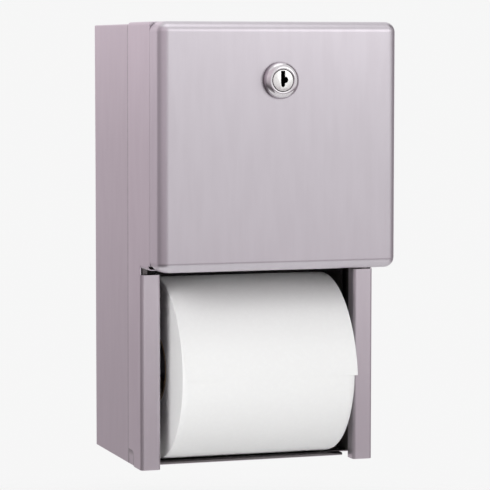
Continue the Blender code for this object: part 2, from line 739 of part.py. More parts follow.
def make_latch(name, side, pivot):
    # the plate's own X axis points back along +Y and its own Y axis up
    outline = latch_outline()
    hole = circle_points(rivet_shank + seat_gap, 20)
    mesh = plate_mesh(name, [outline, hole], latch_thickness)
    stand = Matrix(((0, 0, 1), (1, 0, 0), (0, 1, 0))).to_euler()
    place = (side * latch_mid, latch_place_y, latch_place_z)
    add_part(name, mesh, plated_steel, pivot, place, stand)


def make_rivet(name, side):
    inner = web_outer - sheet - seat_gap
    outer = latch_inner + latch_thickness + seat_gap
    top = outer + seat_gap
    profile = [(0, top), (rivet_head - seat_gap, top), (rivet_head - seat_gap, outer),
               (rivet_shank, outer), (rivet_shank, inner), (rivet_head, inner),
               (rivet_head - rivet_head_height * half, inner - rivet_head_height),
               (0, inner - rivet_head_height)]
    turn = (0, side * quarter_turn, 0)
    turned_part(name, profile, False, bright_steel, root, (0, latch_place_y, latch_place_z), turn, 20)


# Spindles: one moulding each, a ribbed barrel with coned ends, necks and round pins
barrel_inset = 7.0 * mm           # inside the roll's end
barrel_half = roll_width * half - barrel_inset
cone_length = 8.0 * mm
neck_radius = 8.0 * mm
collar_length = 6.0 * mm
collar_rise = 0.5 * mm
pin_chamfer = 0.6 * mm
shoulder_gap = 0.4 * mm
groove_count = 6
groove_width = 3.0 * mm
groove_depth = 2.0 * mm


def make_spindle(name, pivot, height):
    shoulder = web_outer - sheet - shoulder_gap
    body = spindle_radius - collar_rise
    right = [(0, pin_end), (pin_radius - pin_chamfer, pin_end), (pin_radius, pin_end - pin_chamfer),
             (pin_radius, shoulder), (neck_radius, shoulder), (neck_radius, barrel_half + cone_length),
             (spindle_radius, barrel_half), (spindle_radius, barrel_half - collar_length),
             (body, barrel_half - collar_length - collar_rise)]
    left = [(radius, -x) for radius, x in reversed(right)]
    place = (0, -spindle_depth, height)
    spindle = turned_part(name, right + left, False, abs_grey, pivot, place, along_x)
    for i in range(groove_count):
        angle = full_turn * i / groove_count
        groove = groove_mesh(name + "_groove")
        cut(spindle, add_cutter(name + "_groove", groove, pivot, place, (angle, 0, 0)))


def groove_mesh(name):
    # a flute along the barrel between its collars
    run = barrel_half - collar_length * 2
    low = (-run, -groove_width * half, spindle_radius - collar_rise - groove_depth)
    high = (run, groove_width * half, spindle_radius + overrun)
    return block_mesh(name, low, high)


# Rolls: a cardboard core and the wound paper, whose last sheet ends in a low step
last_sheet = 0.5 * mm
roll_sides = 96
lower_tail_angle = -math.radians(3)       # where the free end lies, from straight in front towards the top
reserve_tail_angle = math.radians(70)


def make_roll(prefix, pivot, height, tail_angle):
    place = (0, -spindle_depth, height)
    end = roll_width * half
    bore = core_bore * half
    tube = [(core_radius, end), (core_radius, -end), (bore, -end), (bore, end)]
    turned_part(prefix + "_core", tube, True, kraft_board, pivot, place, along_x, 40)
    rim = []
    for i in range(roll_sides + 1):
        share = i / roll_sides
        # the winding gains one sheet in a turn, up to the free end
        radius = roll_radius - last_sheet * share
        angle = tail_angle + full_turn * share
        rim.append((-radius * math.sin(angle), -radius * math.cos(angle)))
    mesh = plate_mesh(prefix + "_roll", [rim, circle_points(core_radius + seat_gap, 48)], roll_width)
    add_part(prefix + "_roll", mesh, white_paper, pivot, place, along_x)


def build():
    make_rear_box()
    make_front_frame()

    door_pivot = add_empty("door_pivot", hinge_place, root)
    make_door(door_pivot)
    make_hinge(door_pivot)
    plug_pivot = add_empty("plug_pivot", lock_place, door_pivot)
    make_lock(door_pivot, plug_pivot)

    for name, side in (("left", -1), ("right", 1)):
        make_guide(name + "_guide", side)
        make_rivet(name + "_latch_rivet", side)
        place = (side * latch_mid, latch_place_y, latch_place_z)
        make_latch(name + "_drop_latch", side, add_empty(name + "_latch_pivot", place, root))

    for prefix, height, tail_angle in (("lower", lower_spindle_height, lower_tail_angle),
                                       ("reserve", upper_spindle_height, reserve_tail_angle)):
        lift = add_empty(prefix + "_spindle_seat", (0, -spindle_depth, height), root)
        make_spindle(prefix + "_spindle", lift, height)
        axis = add_empty(prefix + "_roll_axis", (0, -spindle_depth, height - roll_drop), lift)
        make_roll(prefix, axis, height - roll_drop, tail_angle)


build()
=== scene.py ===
import json
import math

import bmesh
import bpy
from mathutils import Matrix, Vector


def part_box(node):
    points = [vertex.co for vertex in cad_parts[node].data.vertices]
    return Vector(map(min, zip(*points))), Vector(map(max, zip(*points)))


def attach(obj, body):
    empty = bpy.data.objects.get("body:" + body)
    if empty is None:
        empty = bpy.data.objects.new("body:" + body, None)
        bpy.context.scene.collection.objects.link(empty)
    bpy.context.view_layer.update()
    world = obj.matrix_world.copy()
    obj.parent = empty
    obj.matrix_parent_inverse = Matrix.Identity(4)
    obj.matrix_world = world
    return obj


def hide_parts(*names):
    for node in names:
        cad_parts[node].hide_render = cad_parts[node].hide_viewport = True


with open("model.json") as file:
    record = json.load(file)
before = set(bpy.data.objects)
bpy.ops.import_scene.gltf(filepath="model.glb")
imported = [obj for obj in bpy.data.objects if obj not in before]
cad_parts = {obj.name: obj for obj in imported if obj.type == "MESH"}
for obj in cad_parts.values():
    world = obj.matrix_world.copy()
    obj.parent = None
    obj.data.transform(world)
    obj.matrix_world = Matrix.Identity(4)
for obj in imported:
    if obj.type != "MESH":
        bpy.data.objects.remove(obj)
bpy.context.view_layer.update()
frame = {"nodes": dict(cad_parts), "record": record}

print("frame loaded:", len(frame["nodes"]), "CAD nodes")

mm = 0.001
fullTurn = 2 * math.pi
weldDistance = 0.01 * mm
behaviour = frame["record"]["behaviour"]
bodyOf = {node: body for body, nodes in behaviour["bodies"].items() for node in nodes}
slotOf = {part["node"]: part["material_slot"] for part in frame["record"]["subparts"]}
jointPlace = {joint["name"]: Vector(joint["pos_m"]) for joint in behaviour["joints"] if "pos_m" in joint}
lockPlace = jointPlace["lock_turn"]


# Node helpers, for shader trees and geometry trees alike

class Term:
    # an output in a node tree; reckoning with terms adds the nodes that do the same sum in the tree
    def __init__(self, socket):
        self.socket = socket
        self.tree = socket.id_data

    def __add__(self, other):
        return calc("ADD", self, other)

    def __sub__(self, other):
        return calc("SUBTRACT", self, other)

    def __rsub__(self, other):
        return calc("SUBTRACT", other, self)

    def __mul__(self, other):
        return calc("MULTIPLY", self, other)

    def __truediv__(self, other):
        return calc("DIVIDE", self, other)

    def __pow__(self, other):
        return calc("POWER", self, other)

    def __abs__(self):
        return calc("ABSOLUTE", self)

    def __gt__(self, other):
        return calc("GREATER_THAN", self, other)

    def __lt__(self, other):
        return calc("LESS_THAN", self, other)


def feed(socket, value):
    # a term is linked, anything else becomes the input's own value
    if isinstance(value, Term):
        value.tree.links.new(value.socket, socket)
    elif isinstance(value, tuple) and socket.type == "RGBA":
        socket.default_value = (*value, 1)
    else:
        socket.default_value = value


def addNode(tree, kind, inputs=None, **settings):
    node = tree.nodes.new(kind)
    for key, value in settings.items():
        setattr(node, key, value)
    for key, value in (inputs or {}).items():
        feed(node.inputs[key], value)
    return node


def termOf(tree, kind, inputs=None, output=0, **settings):
    return Term(addNode(tree, kind, inputs, **settings).outputs[output])


def calc(operation, *values, clamp=False):
    tree = next(value.tree for value in values if isinstance(value, Term))
    return termOf(tree, "ShaderNodeMath", dict(enumerate(values)), operation=operation, use_clamp=clamp)


def between(value, low, high, newLow=0.0, newHigh=1.0, smooth=False):
    inputs = {"Value": value, "From Min": low, "From Max": high, "To Min": newLow, "To Max": newHigh}
    kind = "SMOOTHSTEP" if smooth else "LINEAR"
    return termOf(value.tree, "ShaderNodeMapRange", inputs, interpolation_type=kind)


def blend(share, first, second):
    # a colour between two others
    return termOf(share.tree, "ShaderNodeMix", {0: share, 6: first, 7: second}, 2, data_type="RGBA")


def choose(share, first, second):
    # a number between two others
    return termOf(share.tree, "ShaderNodeMix", {0: share, 2: first, 3: second}, data_type="FLOAT")


def mixShader(share, first, second):
    return termOf(share.tree, "ShaderNodeMixShader", {0: share, 1: first, 2: second})


def split(vector):
    return [Term(socket) for socket in addNode(vector.tree, "ShaderNodeSeparateXYZ", {0: vector}).outputs]


def join(x, y, z):
    return termOf(x.tree, "ShaderNodeCombineXYZ", {0: x, 1: y, 2: z})


def noise(vector, scale, detail, rough, stretch=None, warp=0.0):
    if stretch:
        inputs = {0: vector, 1: Vector(stretch)}
        vector = termOf(vector.tree, "ShaderNodeVectorMath", inputs, operation="MULTIPLY")
    inputs = {"Vector": vector, "Scale": scale, "Detail": detail, "Roughness": rough, "Distortion": warp}
    return termOf(vector.tree, "ShaderNodeTexNoise", inputs, "Fac")


def uvPlace(tree, layer):
    return termOf(tree, "ShaderNodeUVMap", uv_map=layer)


def objectPlace(tree):
    return termOf(tree, "ShaderNodeTexCoord", None, "Object")


def layOut(tree):
    # columns from the output back, so that the tree reads from left to right
    depth = {node: 0 for node in tree.nodes}
    for _ in range(len(tree.nodes)):
        for link in tree.links:
            depth[link.from_node] = max(depth[link.from_node], depth[link.to_node] + 1)
    rows = {}
    for node, column in depth.items():
        rows[column] = rows.get(column, 0) + 1
        node.location = (-240 * column, -190 * rows[column])


def newGroup(name, inputs, outputs, kind="ShaderNodeTree", outputKind="NodeSocketFloat"):
    # inputs by name with their defaults: a number, a vector, or None for a material
    tree = bpy.data.node_groups.new(name, kind)
    inputKinds = {float: "NodeSocketFloat", tuple: "NodeSocketVector", type(None): "NodeSocketMaterial"}
    for label, default in inputs.items():
        socket = tree.interface.new_socket(name=label, in_out="INPUT", socket_type=inputKinds[type(default)])
        if default is not None:
            socket.default_value = default
    for label in outputs:
        tree.interface.new_socket(name=label, in_out="OUTPUT", socket_type=outputKind)
    given = {socket.name: Term(socket) for socket in addNode(tree, "NodeGroupInput").outputs if socket.name}
    return tree, given, addNode(tree, "NodeGroupOutput").inputs


# Shader groups: effects that several finishes share

def makeGrainGroup():
    # brushed sheet: fine scratches and broad soft bands along the grain; U runs across it, V along it
    tree, given, out = newGroup(
        "brushedGrain", {"Vector": (0, 0, 0), "Fine Scale": 2600.0, "Band Scale": 60.0, "Stretch": 0.02},
        ("Fine", "Bands", "Height"))
    across, along, _ = split(given["Vector"])
    drawn = join(across, along * given["Stretch"], 0.0)
    fine = noise(drawn, given["Fine Scale"], 2.0, 0.6)
    coarse = noise(drawn, given["Fine Scale"] * 0.31, 2.0, 0.5)
    scratches = fine * 0.6 + coarse * 0.4
    bands = noise(drawn, given["Band Scale"], 3.0, 0.55, (1, 8, 1))
    feed(out["Fine"], between(scratches, 0.3, 0.7))
    feed(out["Bands"], between(bands, 0.3, 0.7, smooth=True))
    feed(out["Height"], scratches)
    layOut(tree)
    return tree


def makeSmudgeGroup():
    # faint handling marks: broad clouds broken by a finer noise
    tree, given, out = newGroup(
        "handlingMarks", {"Vector": (0, 0, 0), "Scale": 22.0, "Cover": 0.45}, ("Mask", "Dust"))
    clouds = noise(given["Vector"], given["Scale"], 4.0, 0.6, warp=0.4)
    finer = noise(given["Vector"], given["Scale"] * 9.0, 3.0, 0.6)
    edge = 0.78 - given["Cover"] * 0.5
    marks = between(clouds, edge, edge + 0.16, smooth=True)
    feed(out["Mask"], marks * between(finer, 0.35, 0.65))
    feed(out["Dust"], between(finer, 0.5, 0.72, smooth=True))
    layOut(tree)
    return tree


def makeRimGroup():
    # wear: a mask near the borders of an upright box, where hands and cloths rub
    tree, given, out = newGroup("rimWear", {
        "Vector": (0, 0, 0), "Half Width": 77.5 * mm, "Half Height": 140.0 * mm,
        "Reach": 6.0 * mm}, ("Mask",))
    x, _, z = split(given["Vector"])
    near = calc("MINIMUM", given["Half Width"] - abs(x), given["Half Height"] - abs(z))
    ragged = noise(given["Vector"], 420.0, 3.0, 0.6)
    shaky = near + (ragged - 0.5) * given["Reach"]
    feed(out["Mask"], between(shaky, given["Reach"], 0.0, smooth=True))
    layOut(tree)
    return tree


def makeFibreGroup():
    # pulp: short fibres, clouds of thicker and thinner stock
    tree, given, out = newGroup(
        "pulpFibre", {"Vector": (0, 0, 0), "Fibre Scale": 1600.0, "Cloud Scale": 140.0}, ("Fibre", "Cloud"))
    one = noise(given["Vector"], given["Fibre Scale"], 4.0, 0.65, (1, 0.35, 0.35), 0.6)
    two = noise(given["Vector"], given["Fibre Scale"], 4.0, 0.65, (0.35, 1, 1), 0.6)
    feed(out["Fibre"], (one + two) * 0.5)
    feed(out["Cloud"], noise(given["Vector"], given["Cloud Scale"], 3.0, 0.5))
    layOut(tree)
    return tree


def makeLapShadeGroup():
    # painted shade along a lap joint on the sides, standing for the shadow of the frame's edge: behind an
    # upright edge, a place on Y, and in the notch at its foot
    tree, given, out = newGroup("paintedLapShade", {
        "Vector": (0, 0, 0), "Edge": -83.0 * mm, "Notch Front": -95.0 * mm, "Notch Top": -130.0 * mm,
        "Width": 3.0 * mm, "Side": 74.5 * mm}, ("Mask",))
    x, y, z = split(given["Vector"])
    ragged = (noise(given["Vector"], 220.0, 3.0, 0.6) - 0.5) * (given["Width"] * 0.4)
    behind = y - given["Edge"] + ragged
    front = y - given["Notch Front"]
    below = given["Notch Top"] - z
    inNotch = (below > 0.0) * (behind < 0.0)
    corner = calc("MINIMUM", front, below) + ragged
    reach = inNotch * corner + (1.0 - inNotch) * behind
    onSide = abs(x) > given["Side"]
    feed(out["Mask"], between(reach, 0.0, given["Width"], 1.0, 0.0, smooth=True) * onSide)
    layOut(tree)
    return tree


grainGroup = makeGrainGroup()
smudgeGroup = makeSmudgeGroup()
rimGroup = makeRimGroup()
fibreGroup = makeFibreGroup()
lapShadeGroup = makeLapShadeGroup()


def useGroup(group, vector, values):
    node = addNode(vector.tree, "ShaderNodeGroup", {"Vector": vector, **values}, node_tree=group)
    return {socket.name: Term(socket) for socket in node.outputs}


def newFinish(name, metallic, specular=0.5):
    finish = bpy.data.materials.new(name)
    finish.use_nodes = True
    tree = finish.node_tree
    shader = tree.nodes["Principled BSDF"]
    shader.inputs["Metallic"].default_value = metallic
    shader.inputs["Specular IOR Level"].default_value = specular
    return finish, tree, shader


def complete(shader, colour, rough, height, strength, distance):
    # what every finish ends with: colour, gloss and the fine relief of the surface
    tree = shader.id_data
    bump = termOf(tree, "ShaderNodeBump", {"Strength": strength, "Distance": distance, "Height": height})
    for label, value in (("Base Color", colour), ("Roughness", rough), ("Normal", bump)):
        feed(shader.inputs[label], value)
    layOut(tree)


# sheet steel: gloss, how far brushing spreads a reflection, scales of the grain, and share of marks
brushed = {"rough": (0.33, 0.36), "spread": 0.65, "fine": 2400.0, "bands": 130.0, "bump": 0.08, "marks": 0.15}
steelLook = {
    "satin": {**brushed, "light": (0.640, 0.600, 0.645), "dark": (0.615, 0.574, 0.618)},
    # the frame, lighter than the door: painted light, for the way light falls on its faces
    "frame": {**brushed, "light": (0.665, 0.615, 0.660), "dark": (0.640, 0.588, 0.634)},
    # the rear box, in a tone a little darker than the door's as painted shade, with painted shade where the
    # frame laps over it and painted shade inside
    "box": {
        **brushed, "light": (0.625, 0.578, 0.620), "dark": (0.600, 0.552, 0.594),
        "lapShade": 0.75, "lapShadeColour": (0.10, 0.075, 0.085), "lapShadeDulls": 0.9,
        "lap": {"Edge": -80.4 * mm, "Notch Front": -92.3 * mm, "Notch Top": -131.0 * mm, "Width": 4.0 * mm},
        "inside": (0.17, 0.155, 0.16),
        # points nearer than these to the middle are inside, where shade is painted
        "insideSide": 76.0 * mm, "insideBack": -0.4 * mm, "insideTop": 138.5 * mm, "insideFloor": -139.6 * mm,
    },
    "inner": {
        "light": (0.26, 0.245, 0.245), "dark": (0.18, 0.168, 0.168), "rough": (0.36, 0.55), "spread": 0.4,
        "fine": 1500.0, "bands": 90.0, "bump": 0.10, "marks": 0.5,
    },
    "hinge": {
        "light": (0.60, 0.59, 0.59), "dark": (0.46, 0.45, 0.45), "rough": (0.24, 0.42), "spread": 0.4,
        "fine": 1900.0, "bands": 120.0, "bump": 0.10, "marks": 0.4,
    },
}
steelWear = {"rim": 0.25, "rimLight": 1.12, "marks": 0.25, "marksDark": 0.9, "marksRough": 0.08}


def makeSteel(name, look):
    finish, tree, shader = newFinish(name, 1.0)
    # brushing spreads a reflection across the grain and leaves it sharp along it
    shader.inputs["Anisotropic"].default_value = look["spread"]
    feed(shader.inputs["Tangent"], termOf(tree, "ShaderNodeTangent", direction_type="UV_MAP", uv_map="grain"))
    place = objectPlace(tree)
    scales = {"Fine Scale": look["fine"], "Band Scale": look["bands"]}
    grain = useGroup(grainGroup, uvPlace(tree, "grain"), scales)
    marks = useGroup(smudgeGroup, place, {"Cover": look["marks"]})
    rim = useGroup(rimGroup, place, {})
    tone = grain["Fine"] * 0.35 + grain["Bands"] * 0.65
    colour = blend(tone, look["dark"], look["light"])
    worn = tuple(min(value * steelWear["rimLight"], 1) for value in look["light"])
    colour = blend(rim["Mask"] * steelWear["rim"], colour, worn)
    dulled = tuple(value * steelWear["marksDark"] for value in look["dark"])
    colour = blend(marks["Mask"] * steelWear["marks"], colour, dulled)
    # painted shade along the lap and in the notch: a darker colour, and less metallic, where the frame's edge
    # casts shadow
    if "lapShade" in look:
        lapShade = useGroup(lapShadeGroup, place, look["lap"])["Mask"] * look["lapShade"]
        colour = blend(lapShade, colour, look["lapShadeColour"])
        feed(shader.inputs["Metallic"], 1.0 - lapShade * look["lapShadeDulls"])
    # painted shade inside the box: a dark colour on the faces of the cavity, which lies in shadow
    if "inside" in look:
        x, y, z = split(place)
        under = calc("MINIMUM", look["insideSide"] - abs(x), look["insideBack"] - y)
        under = calc("MINIMUM", under, look["insideTop"] - z)
        under = calc("MINIMUM", under, z - look["insideFloor"])
        colour = blend(under > 0.0, colour, look["inside"])
    low, high = look["rough"]
    rough = between(tone, 0, 1, high, low) + marks["Mask"] * steelWear["marksRough"]
    complete(shader, colour, rough, grain["Height"], look["bump"], 0.05 * mm)
    return finish


zincLook = {
    "light": (0.62, 0.62, 0.585), "dark": (0.47, 0.475, 0.455), "rough": (0.28, 0.46), "spangle": 900.0,
}


def makeZinc(name, look):
    finish, tree, shader = newFinish(name, 1.0)
    place = objectPlace(tree)
    spangle = termOf(tree, "ShaderNodeTexVoronoi", {"Vector": place, "Scale": look["spangle"]}, "Color")
    crystal = [Term(socket) for socket in addNode(tree, "ShaderNodeSeparateColor", {0: spangle}).outputs]
    marks = useGroup(smudgeGroup, place, {"Scale": 60.0, "Cover": 0.6})
    tone = calc("ADD", crystal[0] * 0.5, marks["Dust"] * 0.3, clamp=True)
    colour = blend(tone, look["light"], look["dark"])
    complete(shader, colour, between(tone, 0, 1, *look["rough"]), crystal[1], 0.08, 0.03 * mm)
    return finish


chromeLook = {
    # painted shade and dark reflection round the bezel's foot, a dark outline on its outer slope: it starts,
    # is full, begins to end and ends at these places on Y
    "bezel": {
        "colour": (0.70, 0.67, 0.695), "dull": (0.60, 0.575, 0.60), "rough": (0.10, 0.22), "marks": 0.35,
        "footShade": (-154.6 * mm, -151.4 * mm, -151.1 * mm, -150.9 * mm), "footShadeCover": 0.92,
        "footShadeColour": (0.07, 0.042, 0.058),
    },
    # the plug's keyway is dark a little way in, painted shade in the narrow slot, and rougher there
    "plug": {
        "colour": (0.84, 0.83, 0.82), "dull": (0.74, 0.73, 0.71), "rough": (0.26, 0.38), "marks": 0.30,
        "keywayShade": (-155.9 * mm, -155.0 * mm), "keywayShadeColour": (0.012, 0.011, 0.010), "keywayShadeRough": 0.4,
    },
}


def makeChrome(name, look):
    finish, tree, shader = newFinish(name, 1.0)
    place = objectPlace(tree)
    marks = useGroup(smudgeGroup, place, {"Scale": 140.0, "Cover": look["marks"]})
    # fine turning rings round the lock's axis, which runs along Y
    x, y, z = split(place)
    up = z - lockPlace.z
    rings = noise(calc("SQRT", x * x + up * up), 5200.0, 2.0, 0.6)
    wear = calc("ADD", marks["Mask"] * 0.6, between(rings, 0.45, 0.75) * 0.35, clamp=True)
    colour = blend(wear, look["colour"], look["dull"])
    rough = between(wear, 0, 1, *look["rough"])
    # painted shade in the keyway: near black from a little behind the plug's face, with more roughness
    if "keywayShade" in look:
        keywayShade = between(y, *look["keywayShade"], smooth=True)
        colour = blend(keywayShade, colour, look["keywayShadeColour"])
        rough = calc("ADD", rough, keywayShade * look["keywayShadeRough"], clamp=True)
    # painted shade and dark reflection: a dark band round the foot of the chrome bezel
    if "footShade" in look:
        start, full, last, end = look["footShade"]
        footShade = between(y, start, full, smooth=True) * between(y, last, end, 1.0, 0.0)
        colour = blend(footShade * look["footShadeCover"], colour, look["footShadeColour"])
    complete(shader, colour, rough, rings, 0.05, 0.02 * mm)
    return finish


plasticLook = {
    "colour": (0.075, 0.075, 0.082), "scuffed": (0.19, 0.19, 0.2), "rough": (0.38, 0.6), "texture": 2600.0,
}


def makePlastic(name, look):
    finish, tree, shader = newFinish(name, 0.0)
    place = objectPlace(tree)
    pebble = noise(place, look["texture"], 2.0, 0.5)
    marks = useGroup(smudgeGroup, place, {"Scale": 110.0, "Cover": 0.6})
    colour = blend(marks["Mask"] * 0.5, look["colour"], look["scuffed"])
    complete(shader, colour, between(pebble, 0.3, 0.7, *look["rough"]), pebble, 0.25, 0.05 * mm)
    return finish


boardLook = {
    "light": (0.56, 0.43, 0.30), "dark": (0.40, 0.29, 0.19), "rough": (0.75, 0.95),
    "seam": (0.33, 0.24, 0.16), "pitch": 46.0 * mm, "seamWidth": 0.035, "seamDepth": 0.8,
}


def makeBoard(name, look):
    # a tube wound from a kraft strip, whose seam runs round it as a helix
    finish, tree, shader = newFinish(name, 0.0, 0.2)
    pulp = useGroup(fibreGroup, objectPlace(tree), {"Fibre Scale": 1400.0, "Cloud Scale": 200.0})
    turn, along, _ = split(uvPlace(tree, "wrap"))
    strip = calc("FRACT", turn + along / look["pitch"])
    seam = between(abs(strip - 0.5), 0.0, look["seamWidth"], 1.0, 0.0, smooth=True)
    colour = blend(between(pulp["Fibre"], 0.35, 0.65), look["dark"], look["light"])
    colour = blend(seam * 0.7, colour, look["seam"])
    rough = between(pulp["Cloud"], 0.3, 0.7, *look["rough"])
    complete(shader, colour, rough, pulp["Fibre"] - seam * look["seamDepth"], 0.35, 0.15 * mm)
    return finish


paperLook = {
    "sheet": (0.885, 0.885, 0.88), "shade": (0.845, 0.84, 0.838), "rough": (0.85, 1.0),
    "sheets": 0.32 * mm, "emboss": 430.0,
}


def makePaper(name, look):
    # wrap UV: U is the turn, V the distance from the axis on the ends and along it on the outside;
    # the point attribute "end" is 1 on the two ends, where the edges of the wound sheets show
    finish, tree, shader = newFinish(name, 0.0, 0.12)
    place = objectPlace(tree)
    pulp = useGroup(fibreGroup, place, {"Fibre Scale": 1500.0, "Cloud Scale": 70.0})
    turn, reach, _ = split(uvPlace(tree, "wrap"))
    onEnd = termOf(tree, "ShaderNodeAttribute", None, "Fac", attribute_name="end")
    # edges of the sheets, a spiral on each end, loosened by a little noise
    phase = reach / look["sheets"] + turn + noise(place, 55.0, 3.0, 0.6) * 5.0
    ridge = abs(calc("FRACT", phase) - 0.5)
    packs = noise(phase, 0.23, 3.0, 0.6)
    ends = ridge * 0.9 + packs * 0.9
    # the soft emboss of the outer sheet
    inputs = {"Vector": place, "Scale": look["emboss"]}
    dots = termOf(tree, "ShaderNodeTexVoronoi", inputs, "Distance", feature="SMOOTH_F1")
    outside = between(dots, 0.0, 0.5, 1.0, 0.0) * 0.5 + pulp["Fibre"] * 0.6
    height = choose(onEnd, outside, ends)
    shade = between(height, 0.25, 0.9, 1.0, 0.0) * between(onEnd, 0, 1, 0.45, 1.0)
    colour = blend(shade, look["sheet"], look["shade"])
    rough = between(pulp["Cloud"], 0.3, 0.7, *look["rough"])
    complete(shader, colour, rough, height, 0.25, 0.12 * mm)
    return finish


finishes = {
    "satin_steel": makeSteel("satinSteel", steelLook["satin"]),
    "frame_steel": makeSteel("frameSteelPaintedLight", steelLook["frame"]),
    "box_steel": makeSteel("boxSteelPaintedShade", steelLook["box"]),
    "inner_steel": makeSteel("millSteel", steelLook["inner"]),
    "hinge_steel": makeSteel("hingeSteel", steelLook["hinge"]),
    "plated_steel": makeZinc("zincPlate", zincLook),
    "chrome": makeChrome("lockChrome", chromeLook["bezel"]),
    "plug_metal": makeChrome("nickelPlug", chromeLook["plug"]),
    "spindle_abs": makePlastic("spindlePlastic", plasticLook),
    "core_board": makeBoard("kraftTube", boardLook),
    "paper": makePaper("tissue", paperLook),
}
print("finishes made:", len(finishes))


# Meshes and pieces

def newObject(name, data):
    piece = bpy.data.objects.new(name, data)
    bpy.context.scene.collection.objects.link(piece)
    return piece


def meshFrom(bm, name):
    mesh = bpy.data.meshes.new(name)
    bm.to_mesh(mesh)
    bm.free()
    return mesh


def prism(bm, near, far):
    # closes the space between an outline and its copy further on
    near = [bm.verts.new(corner) for corner in near]
    far = [bm.verts.new(corner) for corner in far]
    bm.faces.new(near)
    bm.faces.new(reversed(far))
    for step in range(len(near)):
        after = (step + 1) % len(near)
        bm.faces.new((near[step], far[step], far[after], near[after]))
    bmesh.ops.recalc_face_normals(bm, faces=bm.faces)


def addGrain(mesh, turned=()):
    # U across the grain, V along it, in metres; it runs the other way on faces along the axes in turned
    layer = mesh.uv_layers.new(name="grain")
    for face in mesh.polygons:
        size = [abs(value) for value in face.normal]
        facing = size.index(max(size))
        for loop in face.loop_indices:
            place = mesh.vertices[mesh.loops[loop].vertex_index].co
            across, along = ((place.y, place.z), (place.x, place.z), (place.y, place.x))[facing]
            layer.data[loop].uv = (along, across) if facing in turned else (across, along)


def addWrap(mesh, centre):
    # U is the turn about an axis along X, V the place along it
    layer = mesh.uv_layers.new(name="wrap")
    for face in mesh.polygons:
        turns = []
        for loop in face.loop_indices:
            place = mesh.vertices[mesh.loops[loop].vertex_index].co - centre
            turns.append(math.atan2(place.z, -place.y) / fullTurn)
            layer.data[loop].uv = (turns[-1], place.x)
        if max(turns) - min(turns) > 0.5:
            for loop in face.loop_indices:
                if layer.data[loop].uv.x < 0:
                    layer.data[loop].uv.x += 1


def placePiece(name, mesh, finish):
    mesh.materials.clear()
    mesh.materials.append(finishes[finish])
    return newObject(name, mesh)


def adopt(piece, nodeName):
    # the piece rides on the body of the node that it stands for
    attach(piece, bodyOf[nodeName])
    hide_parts(nodeName)


def easeEdges(piece, width, segments, angle):
    edge = piece.modifiers.new("easedEdges", "BEVEL")
    edge.width = width
    edge.segments = segments
    edge.limit_method = "ANGLE"
    edge.angle_limit = math.radians(angle)
    edge.miter_outer = "MITER_ARC"
    edge.use_clamp_overlap = True


def bakeModifiers(piece):
    seen = bpy.context.evaluated_depsgraph_get()
    bpy.context.view_layer.update()
    old = piece.data
    mesh = bpy.data.meshes.new_from_object(piece.evaluated_get(seen))
    piece.modifiers.clear()
    piece.data = mesh
    mesh.name = piece.name
    bpy.data.meshes.remove(old)
    return mesh


def cutAway(piece, bm, name):
    # takes the closed shape in bm out of the piece
    cutter = newObject(name, meshFrom(bm, name))
    cut = piece.modifiers.new(name, "BOOLEAN")
    cut.operation = "DIFFERENCE"
    cut.object = cutter
    cut.solver = "EXACT"
    mesh = bakeModifiers(piece)
    bpy.data.objects.remove(cutter)
    return mesh


def smoothByAngle(mesh, angle):
    mesh.shade_smooth()
    mesh.set_sharp_from_angle(angle=math.radians(angle))


# Sheet metal: finer copies of the CAD pieces, with eased edges and a grain direction

# under the angle "flat" two faces of the CAD piece are one, and under "smooth" an edge is shaded soft
sheetDefaults = {"flat": 0.4, "ease": 0.12 * mm, "segments": 1, "smooth": 32, "turned": (), "finish": None}
refined = {
    "door": {"ease": 0.16 * mm, "segments": 2, "turned": (2,)},
    "front_frame": {"ease": 0.14 * mm, "segments": 2, "finish": "frame_steel"},
    "rear_box": {"segments": 2, "finish": "box_steel"},
    "left_guide": {"ease": 0.1 * mm},
    "right_guide": {"ease": 0.1 * mm},
    "lock_strike": {"ease": 0.15 * mm, "segments": 2},
    "left_drop_latch": {},
    "right_drop_latch": {},
    "lock_nut": {"ease": 0.3 * mm, "segments": 2},
    "lock_cam": {"ease": 0.2 * mm, "segments": 2},
    "cabinet_hinge_leaf": {"ease": 0.1 * mm, "smooth": 40, "turned": (2,)},
    "door_hinge_leaf": {"ease": 0.1 * mm, "smooth": 40, "turned": (2,)},
}
# the floor's front corners are cut away beside and behind the ends of its hem
floorRelief = {
    "outline": [(58.0, -87.0), (63.75, -87.0), (63.75, -96.0), (75.4, -96.0), (75.4, -80.0), (58.0, -80.0)],
    "low": -141.0, "high": -137.6,
}


def mergedCopy(nodeName, flat):
    # the CAD piece with its flat triangles joined up
    bm = bmesh.new()
    bm.from_mesh(frame["nodes"][nodeName].data)
    bmesh.ops.remove_doubles(bm, verts=bm.verts, dist=weldDistance)
    bmesh.ops.dissolve_limit(bm, angle_limit=math.radians(flat), verts=bm.verts, edges=bm.edges)
    return bm


def cutCorners(piece, values):
    for side in (-1, 1):
        bm = bmesh.new()
        prism(bm, *([(side * x * mm, y * mm, z * mm) for x, y in values["outline"]]
                    for z in (values["low"], values["high"])))
        cutAway(piece, bm, "reliefCutter")


def refine(nodeName, values):
    mesh = meshFrom(mergedCopy(nodeName, values["flat"]), nodeName)
    piece = placePiece(nodeName + "_sheet", mesh, values["finish"] or slotOf[nodeName])
    if nodeName == "rear_box":
        cutCorners(piece, floorRelief)
    easeEdges(piece, values["ease"], values["segments"], values["smooth"])
    smoothByAngle(bakeModifiers(piece), values["smooth"])
    weigh = piece.modifiers.new("flatFaces", "WEIGHTED_NORMAL")
    weigh.keep_sharp = True
    weigh.weight = 100
    addGrain(bakeModifiers(piece), values["turned"])
    adopt(piece, nodeName)


for nodeName, values in refined.items():
    refine(nodeName, {**sheetDefaults, **values})
print("sheet metal refined:", len(refined))


# Corner gussets welded into the frame's opening, behind the door's rounded upper corners

